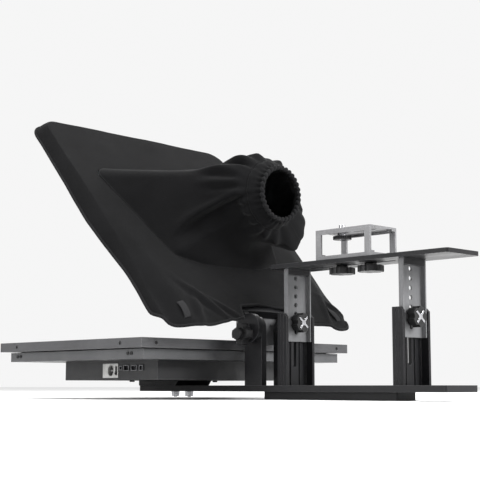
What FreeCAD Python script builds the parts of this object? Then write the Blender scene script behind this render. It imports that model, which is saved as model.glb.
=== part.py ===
import FreeCAD, Part
import math
import os
from FreeCAD import Placement, Rotation, Vector

# Teleprompter: a camera platform, a flat reading monitor and a 45 degree
# beamsplitter glass with a fabric hood, all on one long base plate.
# Millimetres. +X is the operator's right, +Y points at the talent, +Z is up.
# The origin is on the tripod plate's underside, midway between its two threads.

# ---- driving dimensions ----------------------------------------------------
PLATE_HALF = 38.1              # half width of the base plate and the camera plate
TRIPOD_T = 12.0                # tripod plate thickness
TRIPOD_HALF = 22.0
TRIPOD_Y = (-101.0, 162.0)
BASE_T = 9.5                   # base plate thickness
BASE_Y = (-196.0, 448.0)       # base plate, rear end and front end
CORNER = 3.0                   # bevel on the plates' vertical corners

CHANNEL_HALF = 31.75           # riser channel, half width
CHANNEL_D = 19.2               # riser channel, depth along Y
CHANNEL_WALL = 4.5
CHANNEL_WEB = 6.0
WEB_GROOVES = ((7.8, 12.6), (19.0, 25.5))   # grooves along the web, distances from the middle
WEB_GROOVE_D = 2.0
CHANNEL_H = 110.0
CHANNEL_REAR_Y = (-120.7, 102.5)   # rear faces of the rear and front channels
STUD_SLOT_W = 8.4

BAR_HALF = 27.0                # sliding riser bar, half width
BAR_D = 10.4
BAR_WALL = 2.5
BAR_WEB = 3.0
BAR_CHAMFER = 3.5              # on the two corners that run in the channel
BAR_GAP = 0.5                  # clearance between bar and channel web
BAR_BOTTOM_Z = 89.0
BAR_HOLE_R = 3.65
BAR_HOLE_PITCH = 13.9
KNOB_Z = 118.0                 # height of the clamp knobs, which sit in hole 6 of 7

CAM_PLATE_Y = (-203.0, 133.0)
CAM_PLATE_Z = 200.9            # underside of the camera plate
CAM_PLATE_T = 6.4

CRADLE_HALF = 31.0             # camera cradle, half width
CRADLE_Y = (-63.0, 42.0)
CRADLE_H = 46.0
CRADLE_BASE_T = 6.35
CRADLE_SHEET = 3.2
CRADLE_POST_W = 10.6
CRADLE_STUD_Y = (-38.6, 16.5)
CRADLE_TRAVEL = (-42.0, 60.0)  # along Y, in the camera plate's slot
CAMERA_SCREW_Y = 15.8
CAMERA_SCREW_R = 4.76          # 3/8 inch camera thread, outer radius
CAMERA_SCREW_NECK_R = 4.2      # plain neck through the cradle's top
CAMERA_SCREW_L = 9.0           # thread above the cradle's top

PIVOT_Y = 168.7                # tilt axis of the glass and hood, along X
PIVOT_Z = 111.0
UPRIGHT_T = 10.8
UPRIGHT_Y = (150.0, 187.5)
CHEEK_R = 23.0
CHEEK_T = 9.4
CHEEK_GAP = 0.5
CROSS_PLATE_Z = (86.0, 130.5)  # plate that joins the two cheeks
LUG_Z = (92.0, 128.0)          # part of each cheek that reaches it
LOCK_DROP = 10.0               # tilt lock stud, below the pivot
TILT_DEG = 8.0                 # tilt either way from 45 degrees

FRAME_SIZE = (467.0, 373.8)    # monitor frame, X by Y
FRAME_REAR_Y = 206.4
FRAME_Z = (77.4, 92.4)
SCREEN_SIZE = (376.0, 301.0)   # 19 inch 5:4 viewing area
PANEL_T = 8.0
CHASSIS_HALF = 220.0
CHASSIS_Y = (218.0, 568.0)
CHASSIS_Z = (61.0, 76.0)
HOUSING_HALF = 162.0
HOUSING_Y = (253.0, 491.0)
HOUSING_Z = (30.0, 61.0)
SOCKET_Z = 49.0                # height of the signal connectors
MOUNT_PLATE_Y = (345.0, 448.0)
THUMB_NUT_Y = (360.0, 395.0)
MONITOR_TRAVEL = (-3.0, 40.0)  # along Y, in the base plate's slot

HOOD_ORIGIN = Vector(0, 161.0, 120.0)   # hood plane: x, s up the slope, n towards the talent
HOOD_HALF = 225.0
HOOD_TOP_S = 487.0
HOOD_RIM_D = 20.0
FABRIC_T = 4.0
RAIL_W = 14.0                  # glass frame rail, across the slope
RAIL_D = 14.0                  # glass frame rail, along n
GLASS_T = 3.0
GLASS_BITE = 5.0               # how far the glass sits in its rails
GLASS_S = (34.0, 385.0)        # centre lines of the bottom and top rails
RAIL_X = (95.0, 170.0)         # centre lines of the side rails at those two heights
MOUTH_S = (129.0, 375.0)       # trapezoid window between the hood and its shroud
MOUTH_X = (115.0, 168.0)
LENS_Y = 166.0                 # where the shroud meets the lens cuff
LENS_Z = 326.0
SHROUD_END_R = 56.0
CUFF_R = 44.0
CUFF_L = 26.0

BASE_Z = TRIPOD_T
DECK_Z = BASE_Z + BASE_T       # top of the base plate
CHANNEL_TOP_Z = DECK_Z + CHANNEL_H
PLATE_TOP_Z = CAM_PLATE_Z + CAM_PLATE_T
X_AXIS = Vector(1, 0, 0)
Y_AXIS = Vector(0, 1, 0)
Z_AXIS = Vector(0, 0, 1)

parts = {}


# ---- helpers ---------------------------------------------------------------
def box(x0, x1, y0, y1, z0, z1):
    """Box between two corners."""
    return Part.makeBox(x1 - x0, y1 - y0, z1 - z0, Vector(x0, y0, z0))


def rod(radius, base, axis, length):
    """Round bar from base along axis."""
    return Part.makeCylinder(radius, length, Vector(*base), axis)


def prism(points, normal_length):
    """Straight prism on a closed polygon of 3-D points."""
    wire = Part.makePolygon([Vector(*p) for p in points] + [Vector(*points[0])])
    return Part.Face(wire).extrude(normal_length)


def fuse(shapes):
    """One solid from several that touch or overlap."""
    result = shapes[0].multiFuse(shapes[1:])
    return result.removeSplitter()


def slot_z(x, y0, y1, width, z0, z1):
    """Cutter for a round-ended slot along Y."""
    half = width / 2
    ends = [rod(half, (x, y, z0), Z_AXIS, z1 - z0) for y in (y0 + half, y1 - half)]
    return fuse([box(x - half, x + half, y0 + half, y1 - half, z0, z1)] + ends)


def bevelled_plate(half, y0, y1, z0, z1, corner):
    """Flat plate with bevelled vertical corners."""
    outline = [(-half + corner, y0, z0), (half - corner, y0, z0), (half, y0 + corner, z0),
               (half, y1 - corner, z0), (half - corner, y1, z0), (-half + corner, y1, z0),
               (-half, y1 - corner, z0), (-half, y0 + corner, z0)]
    return prism(outline, Vector(0, 0, z1 - z0))


def rounded_wire(corners, z):
    """Closed wire through (x, y, radius) corners, each one rounded by an arc."""
    count = len(corners)
    joints = []
    for index, (x, y, radius) in enumerate(corners):
        here = Vector(x, y, z)
        before = Vector(*corners[index - 1][:2], z) - here
        after = Vector(*corners[(index + 1) % count][:2], z) - here
        before.normalize()
        after.normalize()
        half_angle = before.getAngle(after) / 2
        setback = radius / math.tan(half_angle)
        bisector = before + after
        bisector.normalize()
        centre = here + bisector * (radius / math.sin(half_angle))
        middle = centre - bisector * radius
        joints.append((here + before * setback, middle, here + after * setback))
    edges = []
    for index, (start, middle, end) in enumerate(joints):
        edges.append(Part.Arc(start, middle, end).toShape())
        edges.append(Part.LineSegment(end, joints[(index + 1) % count][0]).toShape())
    return Part.Wire(edges)


def rounded_prism(corners, z0, z1):
    """Solid on a rounded outline."""
    return Part.Face(rounded_wire(corners, z0)).extrude(Vector(0, 0, z1 - z0))


def lobed_knob(radius, base, axis, length, lobes, notch):
    """Round knob with scallops cut around its edge."""
    start = Vector(*base)
    side = X_AXIS if abs(axis.x) < 0.5 else Y_AXIS
    body = Part.makeCylinder(radius, length, start, axis)
    cutters = []
    for index in range(lobes):
        turn = Rotation(axis, 360.0 * (index + 0.5) / lobes)
        centre = start + turn.multVec(side) * (radius + notch * 0.45)
        cutters.append(Part.makeCylinder(notch, length, centre, axis))
    return body.cut(Part.makeCompound(cutters))


class Screws:
    """Cap screws of one assembly, and the counterbored ways that they need."""

    def __init__(self):
        self.solids = []
        self.ways = []

    def put(self, base, axis, shank_r, length, head_r, head_h, access=0.0):
        """Add a screw: base is under the head, axis runs from the head to the tip."""
        tip = Vector(*axis)
        top = Vector(*base) - tip * head_h
        head = Part.makeCylinder(head_r, head_h, top, tip)
        shank = Part.makeCylinder(shank_r, length, Vector(*base), tip)
        key = Part.makeCylinder(head_r * 0.45, head_h * 0.6, top, tip)
        self.solids.append(head.fuse(shank).cut(key))
        way = head.fuse(shank)
        if access:
            way = way.fuse(Part.makeCylinder(head_r, access, top - tip * access, tip))
        self.ways.append(way)

    def clear(self, shape):
        """Cut every screw's way out of a shape."""
        return shape.cut(Part.makeCompound([way.copy() for way in self.ways]))


def hood_place(shape):
    """Move a shape from the hood's own axes (x, s, -n) onto the 45 degree plane."""
    shape.Placement = Placement(HOOD_ORIGIN, Rotation(X_AXIS, 45))
    return shape


def add(name, shape):
    """Keep a named node."""
    parts[name] = shape


def group(name, shapes):
    """Keep several separate solids as one node."""
    add(name, Part.makeCompound(shapes))


# ---- base: tripod plate, base plate, riser channels, hinge uprights ---------
def make_base():
    tripod = bevelled_plate(TRIPOD_HALF, TRIPOD_Y[0], TRIPOD_Y[1], 0, TRIPOD_T, 2.0)
    for y in (-20.0, 20.0):
        tripod = tripod.cut(rod(3.97, (0, y, 0), Z_AXIS, 10.0))
    base = bevelled_plate(PLATE_HALF, BASE_Y[0], BASE_Y[1], BASE_Z, DECK_Z, CORNER)
    slot_y = (THUMB_NUT_Y[0] + MONITOR_TRAVEL[0] - 4.0, THUMB_NUT_Y[1] + MONITOR_TRAVEL[1] + 4.0)
    base = base.cut(slot_z(0, slot_y[0], slot_y[1], 7.0, BASE_Z, DECK_Z))

    screws = Screws()
    for y in (-86.0, 147.0):
        for x in (-12.0, 12.0):
            screws.put((x, y, 7.0), Z_AXIS, 3.0, 10.5, 5.2, 5.0, access=2.0)
    for rear in CHANNEL_REAR_Y:
        web_mid = rear + CHANNEL_D - CHANNEL_WEB / 2
        for x in (-15.8, 15.8):
            screws.put((x, web_mid, 16.5), Z_AXIS, 2.0, 16.5, 3.4, 4.0, access=0.5)
    for side in (-1, 1):
        for y in (158.0, 179.5):
            x = side * (PLATE_HALF - UPRIGHT_T / 2)
            screws.put((x, y, 15.5), Z_AXIS, 2.5, 20.0, 4.2, 3.4, access=0.1)
    add("tripod_plate", screws.clear(tripod))
    add("base_plate", screws.clear(base))
    for name, rear in zip(("rear_riser_channel", "front_riser_channel"), CHANNEL_REAR_Y):
        add(name, screws.clear(riser_channel(rear)))
    for name, side in (("left_hinge_upright", -1), ("right_hinge_upright", 1)):
        add(name, screws.clear(hinge_upright(side)))
    group("base_screws", screws.solids)
    make_pivots()


def riser_channel(rear):
    """Upright U channel, open to the rear, with a stud slot and outside grooves."""
    front = rear + CHANNEL_D
    chamfer = 5.0
    outer = box(-CHANNEL_HALF, CHANNEL_HALF, rear, front, DECK_Z, CHANNEL_TOP_Z)
    inner_half = CHANNEL_HALF - CHANNEL_WALL
    outer = outer.cut(box(-inner_half, inner_half, rear, front - CHANNEL_WEB, DECK_Z, CHANNEL_TOP_Z))
    web_y = front - CHANNEL_WEB
    slot = fuse([box(-STUD_SLOT_W / 2, STUD_SLOT_W / 2, web_y, front, 54.0, 126.0),
                 rod(STUD_SLOT_W / 2, (0, web_y, 54.0), Y_AXIS, CHANNEL_WEB),
                 rod(STUD_SLOT_W / 2, (0, web_y, 126.0), Y_AXIS, CHANNEL_WEB)])
    outer = outer.cut(slot)
    for side in (-1, 1):
        for near, far in WEB_GROOVES:
            x0, x1 = sorted((side * near, side * far))
            outer = outer.cut(box(x0, x1, web_y, web_y + WEB_GROOVE_D, DECK_Z, CHANNEL_TOP_Z))
    for side in (-1, 1):
        x = side * CHANNEL_HALF
        tip = [(x, rear - 1, CHANNEL_TOP_Z), (x, rear + chamfer, CHANNEL_TOP_Z),
               (x, rear - 1, CHANNEL_TOP_Z - chamfer - 1)]
        outer = outer.cut(prism(tip, Vector(-side * CHANNEL_WALL, 0, 0)))
        for y in (rear + 6.0, rear + 12.0):
            outer = outer.cut(box(min(x, x - side), max(x, x - side), y, y + 1.2, DECK_Z, CHANNEL_TOP_Z))
    return outer


def hinge_upright(side):
    """Side upright of the tilt hinge: flat bar with a round head about the pivot."""
    x0, x1 = sorted((side * PLATE_HALF, side * (PLATE_HALF - UPRIGHT_T)))
    middle = (UPRIGHT_Y[0] + UPRIGHT_Y[1]) / 2
    head = rod((UPRIGHT_Y[1] - UPRIGHT_Y[0]) / 2, (x0, middle, PIVOT_Z), X_AXIS, UPRIGHT_T)
    bar = fuse([box(x0, x1, UPRIGHT_Y[0], UPRIGHT_Y[1], DECK_Z, PIVOT_Z), head])
    bar = bar.cut(rod(4.0, (x0, PIVOT_Y, PIVOT_Z), X_AXIS, UPRIGHT_T))
    if side < 0:
        bar = bar.cut(rod(3.05, (x0, PIVOT_Y, PIVOT_Z - LOCK_DROP), X_AXIS, UPRIGHT_T))
    return bar


def make_pivots():
    """Shoulder bolts that the cheeks turn on, and their nuts inside the uprights."""
    bolts = Screws()
    nuts = []
    outer_x = PLATE_HALF + CHEEK_GAP + CHEEK_T
    for side in (-1, 1):
        axis = Vector(-side, 0, 0)
        bolts.put((side * (outer_x + 0.3), PIVOT_Y, PIVOT_Z), axis, 4.0, 34.0, 5.0, 3.5)
        start = side * (PLATE_HALF - UPRIGHT_T)
        nut = Part.makeCylinder(7.5, 10.0, Vector(start, PIVOT_Y, PIVOT_Z), axis)
        for turn in range(6):
            flat = box(-20, 20, 6.9, 12.0, -20, 20)
            flat.rotate(Vector(0, 0, 0), X_AXIS, 60.0 * turn)
            flat.translate(Vector(start, PIVOT_Y, PIVOT_Z))
            nut = nut.cut(flat)
        nuts.append(nut.cut(rod(4.0, (-60, PIVOT_Y, PIVOT_Z), X_AXIS, 120.0)))
    group("pivot_bolts", bolts.solids)
    group("pivot_nuts", nuts)


# ---- camera platform: plate, sliding bars, clamp nuts and knobs -------------
def make_platform():
    plate = bevelled_plate(PLATE_HALF, CAM_PLATE_Y[0], CAM_PLATE_Y[1], CAM_PLATE_Z, PLATE_TOP_Z, CORNER)
    slot_y = (CRADLE_STUD_Y[0] + CRADLE_TRAVEL[0] - 4.0, CRADLE_STUD_Y[1] + CRADLE_TRAVEL[1] + 4.0)
    plate = plate.cut(slot_z(0, slot_y[0], slot_y[1], 7.2, CAM_PLATE_Z, PLATE_TOP_Z))
    blocks = []
    screws = Screws()
    for name, rear in zip(("rear_riser_bar", "front_riser_bar"), CHANNEL_REAR_Y):
        web_front = rear + CHANNEL_D - CHANNEL_WEB - BAR_GAP
        add(name, riser_bar(web_front))
        bar_rear = web_front - BAR_D
        block_front = web_front - BAR_WEB
        blocks.append(box(-BAR_HALF + BAR_WALL, BAR_HALF - BAR_WALL, bar_rear, block_front,
                          CAM_PLATE_Z - 9.0, CAM_PLATE_Z))
        middle = (bar_rear + block_front) / 2
        for x in (-14.0, 14.0):
            screws.put((x, middle, PLATE_TOP_Z - 3.2), Vector(0, 0, -1), 2.0, 10.0, 3.0, 3.2)
    add("camera_plate", screws.clear(plate))
    group("bar_head_blocks", [screws.clear(block) for block in blocks])
    group("platform_screws", screws.solids)

    nuts = []
    for rear in CHANNEL_REAR_Y:
        front = rear + CHANNEL_D
        nut = box(-9.0, 9.0, front + 0.3, front + 6.3, KNOB_Z - 9.0, KNOB_Z + 9.0)
        nuts.append(nut.cut(rod(3.05, (0, front, KNOB_Z), Y_AXIS, 10.0)))
    group("riser_clamp_nuts", nuts)
    for label, rear in zip(("rear", "front"), CHANNEL_REAR_Y):
        make_riser_knob(label, rear)


def riser_bar(web_front):
    """Shallow U bar, open to the rear, with a row of seven height holes."""
    bar = box(-BAR_HALF, BAR_HALF, web_front - BAR_D, web_front, BAR_BOTTOM_Z, CAM_PLATE_Z)
    inner = BAR_HALF - BAR_WALL
    bar = bar.cut(box(-inner, inner, web_front - BAR_D, web_front - BAR_WEB, BAR_BOTTOM_Z, CAM_PLATE_Z))
    for side in (-1, 1):
        x = side * BAR_HALF
        corner = [(x, web_front, BAR_BOTTOM_Z), (x - side * BAR_CHAMFER, web_front, BAR_BOTTOM_Z),
                  (x, web_front - BAR_CHAMFER, BAR_BOTTOM_Z)]
        bar = bar.cut(prism(corner, Vector(0, 0, CAM_PLATE_Z - BAR_BOTTOM_Z)))
    for step in range(7):
        z = KNOB_Z + (step - 1) * BAR_HOLE_PITCH
        bar = bar.cut(rod(BAR_HOLE_R, (0, web_front - BAR_WEB - 1, z), Y_AXIS, BAR_WEB + 2))
    return bar


def make_riser_knob(label, rear):
    """Five-lobed clamp knob with a metal star and stud, facing the operator."""
    bar_face = rear + CHANNEL_D - CHANNEL_WEB - BAR_GAP - BAR_WEB
    back = Vector(0, -1, 0)
    knob = lobed_knob(15.0, (0, bar_face - 3.4, KNOB_Z), back, 13.0, 5, 5.0)
    knob = fuse([knob, rod(7.0, (0, bar_face - 0.4, KNOB_Z), back, 3.0)])
    stud_end = rear + CHANNEL_D + 8.0
    star_y = bar_face - 16.4
    stud = rod(3.0, (0, star_y, KNOB_Z), Y_AXIS, stud_end - star_y)
    arms = [rod(4.0, (0, star_y - 0.8, KNOB_Z), Y_AXIS, 1.6)]
    for turn in range(4):
        arm = box(-1.6, 1.6, star_y - 0.8, star_y + 0.8, 0, 11.5)
        arm.rotate(Vector(0, 0, 0), Y_AXIS, 90.0 * turn + 40.0)
        arm.translate(Vector(0, 0, KNOB_Z))
        arms.append(arm)
    insert = fuse([stud] + arms)
    add(label + "_riser_knob", knob.cut(insert))
    add(label + "_riser_stud", insert)


# ---- camera cradle on the plate ---------------------------------------------
def make_cradle():
    z0 = PLATE_TOP_Z
    top_z = z0 + CRADLE_H
    y0, y1 = CRADLE_Y
    base = box(-CRADLE_HALF, CRADLE_HALF, y0, y1, z0, z0 + CRADLE_BASE_T)
    top = box(-CRADLE_HALF, CRADLE_HALF, y0, y1, top_z - CRADLE_SHEET, top_z)
    top = top.cut(rod(CAMERA_SCREW_R + 0.24, (0, CAMERA_SCREW_Y, top_z - 5), Z_AXIS, 10.0))
    top = top.cut(slot_z(0, -50.0, -5.0, 7.0, top_z - 5, top_z))
    screws = Screws()
    for x in (-CRADLE_HALF + CRADLE_SHEET + 3.0, CRADLE_HALF - CRADLE_SHEET - 3.0):
        for y in (y0 + 5.3, y1 - 5.3):
            screws.put((x, y, top_z - 1.4), Vector(0, 0, -1), 1.5, 4.3, 2.6, 1.4)
            screws.put((x, y, z0 + 2.0), Z_AXIS, 1.5, 6.8, 2.6, 2.0)
    for y in CRADLE_STUD_Y:
        base = base.cut(rod(3.225, (0, y, z0), Z_AXIS, CRADLE_BASE_T))
    add("cradle_base", screws.clear(base))
    add("cradle_top", screws.clear(top))
    for name, side in (("cradle_left_side", -1), ("cradle_right_side", 1)):
        add(name, screws.clear(cradle_side(side, z0 + CRADLE_BASE_T, top_z - CRADLE_SHEET)))
    group("cradle_screws", screws.solids)
    for label, y in zip(("rear", "front"), CRADLE_STUD_Y):
        make_cradle_knob(label, y)

    wheel_z = top_z - CRADLE_SHEET - 10.0
    wheel = rod(14.0, (0, CAMERA_SCREW_Y, wheel_z), Z_AXIS, 5.0)
    cutters = []
    for index in range(24):
        angle = math.radians(15.0 * index)
        x = 14.6 * math.cos(angle)
        y = CAMERA_SCREW_Y + 14.6 * math.sin(angle)
        cutters.append(rod(1.3, (x, y, wheel_z), Z_AXIS, 5.0))
    wheel = wheel.cut(Part.makeCompound(cutters))
    thread_z = top_z + 0.2
    screw = fuse([rod(7.0, (0, CAMERA_SCREW_Y, wheel_z + 5.0), Z_AXIS, 4.7),
                  rod(CAMERA_SCREW_NECK_R, (0, CAMERA_SCREW_Y, wheel_z), Z_AXIS, thread_z - wheel_z),
                  rod(CAMERA_SCREW_R, (0, CAMERA_SCREW_Y, thread_z), Z_AXIS, CAMERA_SCREW_L)])
    add("camera_screw", screw)
    add("camera_screw_wheel", wheel.cut(screw))


def cradle_side(side, z0, z1):
    """One side of the cradle: two posts, a top strip and a turned-in foot and flange."""
    x_out = side * CRADLE_HALF
    x_in = x_out - side * CRADLE_SHEET
    x0, x1 = sorted((x_out, x_in))
    y0, y1 = CRADLE_Y
    sheet = box(x0, x1, y0, y1, z0, z1)
    sheet = sheet.cut(box(x0, x1, y0 + CRADLE_POST_W, y1 - CRADLE_POST_W, z0, z1 - 4.0))
    tabs = []
    t0, t1 = sorted((x_in, x_in - side * 7.0))
    for start, end in ((y0, y0 + CRADLE_POST_W), (y1 - CRADLE_POST_W, y1)):
        tabs.append(box(t0, t1, start, end, z0, z0 + 2.5))
        tabs.append(box(t0, t1, start, end, z1 - 2.5, z1))
    return fuse([sheet] + tabs)


def make_cradle_knob(label, y):
    """Clamp knob under the camera plate, with its stud up into the cradle."""
    bottom = CAM_PLATE_Z - 13.3
    knob = lobed_knob(19.5, (0, y, bottom), Z_AXIS, 9.4, 8, 4.2)
    knob = fuse([knob, rod(9.0, (0, y, bottom + 9.4), Z_AXIS, 3.5)])
    stud = rod(3.175, (0, y, bottom + 3.0), Z_AXIS, PLATE_TOP_Z + 5.5 - bottom - 3.0)
    add(label + "_cradle_knob", knob.cut(stud))
    add(label + "_cradle_stud", stud)


# ---- reading monitor ----------------------------------------------------------
def make_monitor():
    half_x = FRAME_SIZE[0] / 2
    y0 = FRAME_REAR_Y
    y1 = y0 + FRAME_SIZE[1]
    centre_y = (y0 + y1) / 2
    z0, z1 = FRAME_Z
    panel_half = SCREEN_SIZE[0] / 2 + 10.0
    panel_y = SCREEN_SIZE[1] / 2 + 5.0
    frame = box(-half_x, half_x, y0, y1, z0, z1)
    frame = frame.cut(box(-SCREEN_SIZE[0] / 2, SCREEN_SIZE[0] / 2, centre_y - SCREEN_SIZE[1] / 2,
                          centre_y + SCREEN_SIZE[1] / 2, z0, z1))
    frame = frame.cut(box(-panel_half, panel_half, centre_y - panel_y, centre_y + panel_y, z0, z1 - 3.0))
    screws = Screws()
    screw_z = z1 - 7.5
    for side in (-1, 1):
        inward = Vector(-side, 0, 0)
        for y in (256.6, 531.3):
            screws.put((side * (half_x - 2.0), y, screw_z), inward, 2.0, 8.0, 3.2, 2.2)
        for y in (245.5, 254.0, 539.5, 548.0):
            screws.put((side * CHASSIS_HALF, y, 69.5), inward, 1.5, 1.5, 2.8, 1.2)
    for y, direction in ((y0 + 2.0, Y_AXIS), (y1 - 2.0, Vector(0, -1, 0))):
        for x in (-204.7, 204.7):
            screws.put((x, y, screw_z), direction, 2.0, 8.0, 3.2, 2.2)
    add("monitor_frame", screws.clear(frame))
    panel_z = z1 - 3.0 - PANEL_T
    panel = box(-panel_half, panel_half, centre_y - panel_y, centre_y + panel_y, panel_z, z1 - 3.0)
    add("lcd_panel", panel)

    wall = 1.5
    cx0, cx1 = -CHASSIS_HALF, CHASSIS_HALF
    cy0, cy1 = CHASSIS_Y
    cz0, cz1 = CHASSIS_Z
    chassis = box(cx0, cx1, cy0, cy1, cz0, cz1)
    chassis = chassis.cut(box(cx0 + wall, cx1 - wall, cy0 + wall, cy1 - wall, cz0 + wall, cz1))
    ledge = box(-panel_half, panel_half, centre_y - panel_y, centre_y + panel_y, cz0 + wall, panel_z)
    ledge = ledge.cut(box(-panel_half + 2, panel_half - 2, centre_y - panel_y + 2, centre_y + panel_y - 2,
                          cz0 + wall, panel_z))
    collar = box(-207, 207, centre_y - panel_y - 6.0, centre_y + panel_y + 6.0, cz1 - 1.5, z0)
    collar = collar.cut(box(-panel_half, panel_half, centre_y - panel_y, centre_y + panel_y, cz0, z0))
    lip = box(cx0, cx1, cy0, cy1, cz1 - 1.5, cz1)
    lip = lip.cut(box(-panel_half, panel_half, centre_y - panel_y, centre_y + panel_y, cz0, z0))
    add("lcd_chassis", screws.clear(fuse([chassis, ledge, collar, lip])))
    group("frame_screws", screws.solids)
    make_electronics(wall)
    make_monitor_mount()


def make_electronics(wall):
    """Electronics housing under the panel, with its boards and side connectors."""
    half = HOUSING_HALF
    y0, y1 = HOUSING_Y
    z0, z1 = HOUSING_Z
    housing = box(-half, half, y0, y1, z0 + 1.5, z1)
    housing = housing.cut(box(-half + wall, half - wall, y0 + wall, y1 - wall, z0 + 1.5, z1 - wall))
    cover = box(-half, half, y0, y1, z0, z0 + 1.5)
    inlet_y = (349.0, 388.5)
    inlet_z = (33.5, 56.5)
    inlet = box(-half - 1.0, -half, inlet_y[0], inlet_y[1], inlet_z[0], inlet_z[1])
    body = box(-half, -half + 24.0, 359.0, 377.0, 34.5, 55.5)
    socket = [(36.4, 361.0, 6.9), (53.6, 361.0, 6.9), (53.6, 375.0, 6.9), (36.4, 375.0, 6.9)]
    cavity = rounded_prism(socket, 0, 16.0)
    cavity.rotate(Vector(0, 0, 0), Y_AXIS, -90)
    cavity.translate(Vector(-half - 1.0 + 16.0, 0, 0))
    inlet = fuse([inlet, body]).cut(cavity)
    pins = [box(-half + 3.0, -half + 16.0, 365.8 + dy, 370.2 + dy, 44.0 + dz, 46.0 + dz)
            for dy, dz in ((-1.5, -5.0), (2.0, 0.0), (-1.5, 5.0))]
    inlet = fuse([inlet] + pins)
    rocker_way = box(-half - 1.0, -half + 12.0, 351.8, 356.2, 38.0, 52.0)
    inlet = inlet.cut(rocker_way)
    add("mains_switch", rocker_switch(-half + 1.0, 45.0))

    sockets = []
    for y, width, height in ((341.0, 8.0, 7.0), (327.0, 14.0, 9.0), (308.0, 15.0, 9.0), (291.0, 9.0, 9.0)):
        dy, dz = width / 2, height / 2
        shell = box(-half - 2.5, -half + 12.0, y - dy, y + dy, SOCKET_Z - dz, SOCKET_Z + dz)
        dy, dz = dy - 1.2, dz - 1.2
        hole = box(-half - 2.5, -half + 5.0, y - dy, y + dy, SOCKET_Z - dz, SOCKET_Z + dz)
        sockets.append(shell.cut(hole))
    openings = [box(-half - 2, -half + 2, 359.0, 377.0, 34.5, 55.5), rocker_way]
    for socket in sockets:
        size = socket.BoundBox
        openings.append(box(-half - 2, -half + 2, size.YMin, size.YMax, size.ZMin, size.ZMax))
    vents = []
    for index in range(14):
        y = 400.0 + 6.0 * index
        vents.append(box(half - 2.0, half + 1.0, y, y + 2.5, 38.0, 54.0))
    housing = housing.cut(Part.makeCompound(openings + vents))
    add("electronics_housing", housing)
    add("electronics_cover", cover)
    add("mains_inlet", inlet)
    group("signal_connectors", sockets)
    add("power_board", fuse([box(-120.0, -20.0, 395.0, 480.0, 40.0, 41.6),
                             box(-100.0, -60.0, 410.0, 450.0, 41.6, 55.0)]))
    add("controller_board", fuse([box(-149.0, 10.0, 262.0, 348.0, 40.9, 42.5),
                                  box(-80.0, -50.0, 290.0, 320.0, 42.5, 47.0)]))
    feet = []
    for x in (-94.7, 94.7):
        feet.append(rod(4.2, (x, 397.0, z0 - 2.6), Z_AXIS, 2.6))
    group("housing_feet", feet)


def rocker_switch(hinge_x, hinge_z):
    """Rocker with its lower half pressed out, resting in the off position."""
    profile = [(-4.0, -5.8), (-2.2, 0.0), (-2.4, 5.8), (1.0, 5.2), (4.0, 0.0), (1.0, -5.2)]
    points = [(hinge_x + dx, 352.1, hinge_z + dz) for dx, dz in profile]
    bosses = rod(1.4, (hinge_x, 351.95, hinge_z), Y_AXIS, 4.1)
    return fuse([prism(points, Vector(0, 3.8, 0)), bosses])


def make_monitor_mount():
    """Plate between the housing and the base plate, with two studs and thumb nuts."""
    y0, y1 = MOUNT_PLATE_Y
    z0 = DECK_Z
    z1 = HOUSING_Z[0]
    chamfer = 7.0
    profile = [(-PLATE_HALF, y0 + chamfer, z0), (-PLATE_HALF, y1, z0),
               (-PLATE_HALF, y1, z1), (-PLATE_HALF, y0, z1)]
    plate = prism(profile, Vector(2 * PLATE_HALF, 0, 0))
    studs = []
    for y in THUMB_NUT_Y:
        studs.append(rod(3.0, (0, y, 2.5), Z_AXIS, z1 - 3.0 - 2.5))
    plate = plate.cut(Part.makeCompound([s.copy() for s in studs]))
    add("monitor_mount_plate", plate)
    group("mount_studs", studs)
    for label, y in zip(("rear", "front"), THUMB_NUT_Y):
        nut = rod(7.0, (0, y, BASE_Z - 8.3), Z_AXIS, 8.0)
        cutters = [rod(3.05, (0, y, 0), Z_AXIS, 20.0)]
        for index in range(18):
            angle = math.radians(20.0 * index)
            cutters.append(rod(0.8, (7.4 * math.cos(angle), y + 7.4 * math.sin(angle), 0), Z_AXIS, 20.0))
        add(label + "_thumb_nut", nut.cut(Part.makeCompound(cutters)))


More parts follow.
